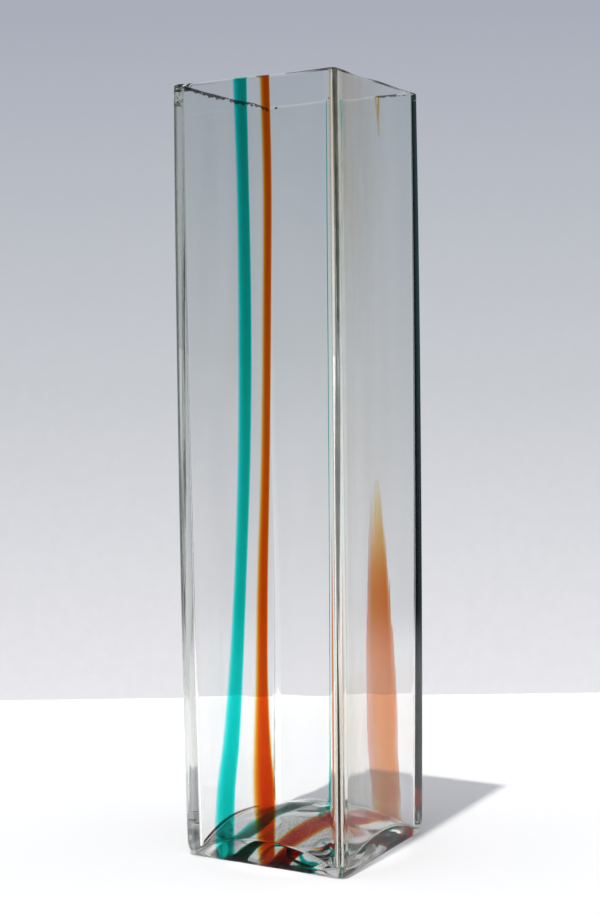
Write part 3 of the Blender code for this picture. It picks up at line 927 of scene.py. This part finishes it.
def strand_glass(name, colours_through, density, streak, far=None, far_tint=WHITE):
    """Coloured glass inside clear glass, so it bends no light; faint streaks run along it.

    Between two places along the strand its tint turns to that of the far end.
    """
    material, graph, shader = glass_material(name, 1.0, colours_through, density)
    place = graph.add("ShaderNodeUVMap", {"uv_map": "course"})
    streaks = graph.noise(graph.mapped(place, (14.0, 6.0, 1.0)), 1.0, 3.0)
    clouds = graph.noise(graph.mapped(place, (2.0, 60.0, 1.0)), 1.0, 3.0)
    share = (streaks * 0.65 + clouds * 0.35).ramp(0.30, 0.75)
    tint = graph.mix(share, WHITE, streak)
    if far:
        _, along, _ = graph.axes(place)
        tint = graph.mix(along.band(*far), tint, far_tint)
    feed(graph, shader, "Base Color", tint)
    return material


def settings():
    """The property groups on the scene."""
    scene = bpy.context.scene
    return scene.vase_sizes, scene.vase_strands, scene.vase_colours, scene.vase_stage


def claim(piece, slot, *nodes):
    """Says what a piece rides on and which nodes it stands for; the slot, where its finish would come from, is not
    used.
    """
    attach(piece, "root")
    if nodes:
        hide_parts(*nodes)


class VaseStage(bpy.types.Operator):
    """Adds the floor, the backdrop, the light and the camera"""

    bl_idname = "vase.stage"
    bl_label = "Stage"

    def execute(self, context):
        _, _, _, stage = settings()
        self.camera(context.scene, stage)
        self.light(context.scene, stage)
        self.floor(stage)
        self.backdrop(stage)
        view = context.scene.view_settings
        view.view_transform = "Standard"
        context.scene.cycles.max_bounces = 32
        context.scene.cycles.transmission_bounces = 32
        context.scene.cycles.glossy_bounces = 8
        context.scene.cycles.sample_clamp_indirect = 4.0
        return {"FINISHED"}

    def camera(self, scene, stage):
        """A camera from its eye, yaw, pitch and roll."""
        yaw, pitch, roll = stage.yaw, stage.pitch, stage.roll
        forward = Vector((-math.sin(yaw) * math.cos(pitch), math.cos(yaw) * math.cos(pitch), math.sin(pitch)))
        level = Vector((math.cos(yaw), math.sin(yaw), 0))
        upright = level.cross(forward)
        right = level * math.cos(roll) + upright * math.sin(roll)
        up = upright * math.cos(roll) - level * math.sin(roll)
        turn = Matrix((right, up, -forward)).transposed().to_4x4()
        data = bpy.data.cameras.new("camera")
        data.lens = stage.lens
        data.sensor_fit = "AUTO"
        data.sensor_width = 36.0
        data.clip_start, data.clip_end = 0.01, 100.0
        camera = bpy.data.objects.new("camera", data)
        camera.matrix_world = Matrix.Translation(stage.eye) @ turn
        scene.collection.objects.link(camera)
        scene.camera = camera

    def light(self, scene, stage):
        """One key light from the front and above, and a soft sky that is brighter overhead."""
        data = bpy.data.lights.new("key", "SUN")
        data.energy = stage.sun_strength
        data.angle = stage.sun_angle
        lamp = bpy.data.objects.new("key", data)
        level = math.cos(stage.sun_height)
        towards = Vector((level * math.cos(stage.sun_bearing), level * math.sin(stage.sun_bearing),
                          math.sin(stage.sun_height)))
        lamp.rotation_euler = towards.to_track_quat("Z", "Y").to_euler()
        lamp.location = towards * 2
        scene.collection.objects.link(lamp)

        world = bpy.data.worlds.new("soft_sky")
        scene.world = world
        graph = Graph(world)
        towards = graph.coordinates("Generated")
        _, _, height = graph.axes(towards)
        room = graph.mix(self.openness(graph, towards, stage), stage.room_dark, stage.room_bright)
        sky = graph.mix(height.ramp(0.15, 0.9), room, stage.sky_high)
        seen = graph.add("ShaderNodeLightPath")
        surface = graph.add("ShaderNodeBackground", None, {"Color": graph.mix(seen, sky, stage.room_pale)})
        graph.add("ShaderNodeOutputWorld", None, {"Surface": surface})

    def openness(self, graph, place, stage):
        """How bright the room is in a direction round the vase: 1 at the left and right, 0 before and behind.

        Through the glass the front of the room is bright as well.
        """
        level = graph.mapped(place, (1.0, 1.0, 0.0))
        level = graph.add("ShaderNodeVectorMath", {"operation": "NORMALIZE"}, {0: level})
        away = (-math.sin(stage.yaw), math.cos(stage.yaw), 0.0)
        behind = graph.add("ShaderNodeVectorMath", {"operation": "DOT_PRODUCT"}, {0: level, 1: away}).output("Value")
        through = graph.add("ShaderNodeLightPath").output("Is Transmission Ray")
        return behind.ramp(-0.60, -0.40).math("MAXIMUM", through) * behind.fall(0.30, 0.55)

    def floor(self, stage):
        """A matt floor, pale round the vase and fading to the colour of the low sky far away."""
        reach = 40.0
        corners = np.array([(-reach, -reach, 0), (reach, -reach, 0), (reach, reach, 0), (-reach, reach, 0)])
        material = bpy.data.materials.new("pale_floor")
        graph = Graph(material)
        place = graph.coordinates("Object")
        distance = graph.add("ShaderNodeVectorMath", {"operation": "LENGTH"}, {0: place}).output("Value")
        room = graph.mix(self.openness(graph, place, stage), stage.room_dark, stage.floor)
        room = graph.mix(distance.ramp(0.45, 0.85), stage.floor, room)
        shade = graph.mix(graph.add("ShaderNodeLightPath"), room, stage.floor)
        glow = graph.mix(distance.fall(0.030, 0.062), BLACK, stage.floor_glow)
        surface = graph.add("ShaderNodeBsdfPrincipled", None, {
            "Base Color": shade, "Roughness": 1.0, "Specular IOR Level": 0.0,
            "Emission Color": glow, "Emission Strength": 1.0})
        graph.add("ShaderNodeOutputMaterial", None, {"Surface": surface})
        put_mesh("floor", corners, [(0, 1, 2, 3)], material)

    def backdrop(self, stage):
        """An upright backdrop square to the view, darker above, seen from its front only."""
        away = Vector((-math.sin(stage.yaw), math.cos(stage.yaw), 0))
        across = Vector((math.cos(stage.yaw), math.sin(stage.yaw), 0)) * stage.backdrop_width / 2
        foot = Vector((stage.eye[0], stage.eye[1], 0)) + away * stage.backdrop_distance
        rise = Vector((0, 0, stage.backdrop_height))
        corners = np.array([foot - across, foot + across, foot + across + rise, foot - across + rise])
        material = bpy.data.materials.new("pale_backdrop")
        graph = Graph(material)
        place = graph.coordinates("Object")
        _, _, height = graph.axes(place)
        stops = ((0.0, stage.backdrop_low), (0.44, stage.backdrop_middle), (1.0, stage.backdrop_high))
        shade = graph.add("ShaderNodeValToRGB", {"stops": stops}, {"Fac": height / 0.52})
        grain = graph.noise(place, 120.0, 4.0).ramp(0.25, 0.75)
        shade = graph.mix(grain * 0.05, shade, (0.40, 0.40, 0.42))
        glow = graph.add("ShaderNodeEmission", None, {"Color": shade})
        matt = graph.add("ShaderNodeBsdfDiffuse", None, {"Color": shade})
        ray = graph.add("ShaderNodeLightPath")
        seen = ray.math("MAXIMUM", ray.output("Is Glossy Ray")).math("MAXIMUM", ray.output("Is Transmission Ray"))
        front = graph.add("ShaderNodeMixShader", None, {0: seen, 1: matt, 2: glow})
        behind = graph.add("ShaderNodeNewGeometry").output("Backfacing")
        nothing = graph.add("ShaderNodeBsdfTransparent")
        surface = graph.add("ShaderNodeMixShader", None, {0: behind, 1: front, 2: nothing})
        graph.add("ShaderNodeOutputMaterial", None, {"Surface": surface})
        put_mesh("backdrop", corners, [(0, 1, 2, 3)], material)


class VaseVessel(bpy.types.Operator):
    """Adds the clear vessel"""

    bl_idname = "vase.vessel"
    bl_label = "Clear vessel"

    def execute(self, context):
        sizes, _, colours, _ = settings()
        vase = Vase(sizes)
        grid = vessel_grid(vase, square_table(SIDE_POINTS, CORNER_POINTS))
        middle = np.zeros(1)
        underside = (0, 0, float(vase.underside_height(middle, middle)[0]))
        crown = (0, 0, float(vase.floor_height(middle, middle)[0]))
        vessel = capped_tube("vase_body", grid, underside, crown, clear_glass(colours))
        claim(vessel, "clear_glass", "clear_vessel")
        return {"FINISHED"}


class VaseTurquoise(bpy.types.Operator):
    """Adds the turquoise strand"""

    bl_idname = "vase.turquoise"
    bl_label = "Turquoise strand"

    def execute(self, context):
        sizes, strands, colours, _ = settings()
        path = SkinPath(Vase(sizes))
        at = path_places(path, END_GAP, path.total - END_GAP)
        shares = course(path, at, TURQUOISE_FRONT_SHARES, TURQUOISE_BACK_SHARES)
        material = strand_glass("turquoise_glass", colours.turquoise, colours.turquoise_density, TURQUOISE_STREAK)
        made = strand("turquoise_strand", path, at, shares,
                      (strands.turquoise_width, strands.turquoise_thickness), strands.depth, material)
        claim(made, "turquoise_glass", "turquoise_cane")
        return {"FINISHED"}


class VaseOrange(bpy.types.Operator):
    """Adds the orange strand, which ends in a flame on the back wall, and its drip at the back rim"""

    bl_idname = "vase.orange"
    bl_label = "Orange strand"

    def execute(self, context):
        sizes, strands, colours, _ = settings()
        path = SkinPath(Vase(sizes))
        flame = (path.marks[5] + np.array(FLAME_BODY)).tolist()
        material = strand_glass("orange_glass", colours.orange, colours.orange_density, ORANGE_STREAK,
                                flame, FLAME_TINT)
        nominal = strands.orange_width, strands.orange_thickness
        last = path.place_of_height(ORANGE_BACK_SHARES[-1][0] * sizes.height, True)
        at = path_places(path, END_GAP, last)
        shares = course(path, at, ORANGE_FRONT_SHARES, ORANGE_BACK_SHARES)
        made = strand("orange_strand", path, at, shares, nominal, strands.depth, material, path.marks[5])
        claim(made, "orange_glass", "orange_cane")
        self.drip(path, nominal, strands.depth, material)
        return {"FINISHED"}

    def drip(self, path, nominal, depth, material):
        """Two thin streams from the back rim that run together."""
        streams = []
        for layer, rows in enumerate(DRIP_STREAM_SHARES):
            first = path.place_of_height(rows[0][0] * path.vase.size.height, True)
            at = np.linspace(first, path.total - END_GAP, 60)
            shares = smooth_rows(rows, path.height_share(at))
            streams.append(strand(f"drip_{layer}", path, at, shares, nominal, depth * (1 + layer), material))
        with bpy.context.temp_override(object=streams[0], active_object=streams[0],
                                       selected_objects=streams, selected_editable_objects=streams):
            bpy.ops.object.join()
        streams[0].name = "orange_drip"
        claim(streams[0], "orange_glass", "orange_rim_tail")


class VasePanel(bpy.types.Panel):
    """Lists the vase's operators and sizes"""

    bl_idname = "VIEW3D_PT_vase"
    bl_label = "Square glass vase"
    bl_space_type = "VIEW_3D"
    bl_region_type = "UI"
    bl_category = "Vase"

    def draw(self, context):
        layout = self.layout
        for operator in OPERATORS:
            layout.operator(operator.bl_idname)
        for group in settings():
            box = layout.box()
            for name in group.__annotations__:
                box.prop(group, name)


OPERATORS = (VaseStage, VaseVessel, VaseTurquoise, VaseOrange)
GROUPS = {
    "vase_sizes": VaseSizes,
    "vase_strands": StrandSizes,
    "vase_colours": GlassColours,
    "vase_stage": StageSettings,
}


def register():
    """Registers the classes and puts the settings on the scene."""
    for cls in (*GROUPS.values(), *OPERATORS, VasePanel):
        bpy.utils.register_class(cls)
    for name, group in GROUPS.items():
        setattr(bpy.types.Scene, name, bpy.props.PointerProperty(type=group))


def unregister():
    """Takes the settings and classes away again."""
    for name in GROUPS:
        delattr(bpy.types.Scene, name)
    for cls in (VasePanel, *reversed(OPERATORS), *GROUPS.values()):
        bpy.utils.unregister_class(cls)


def main():
    """Builds everything."""
    register()
    bpy.ops.vase.stage()
    bpy.ops.vase.vessel()
    bpy.ops.vase.turquoise()
    bpy.ops.vase.orange()


if __name__ == "__main__":
    main()
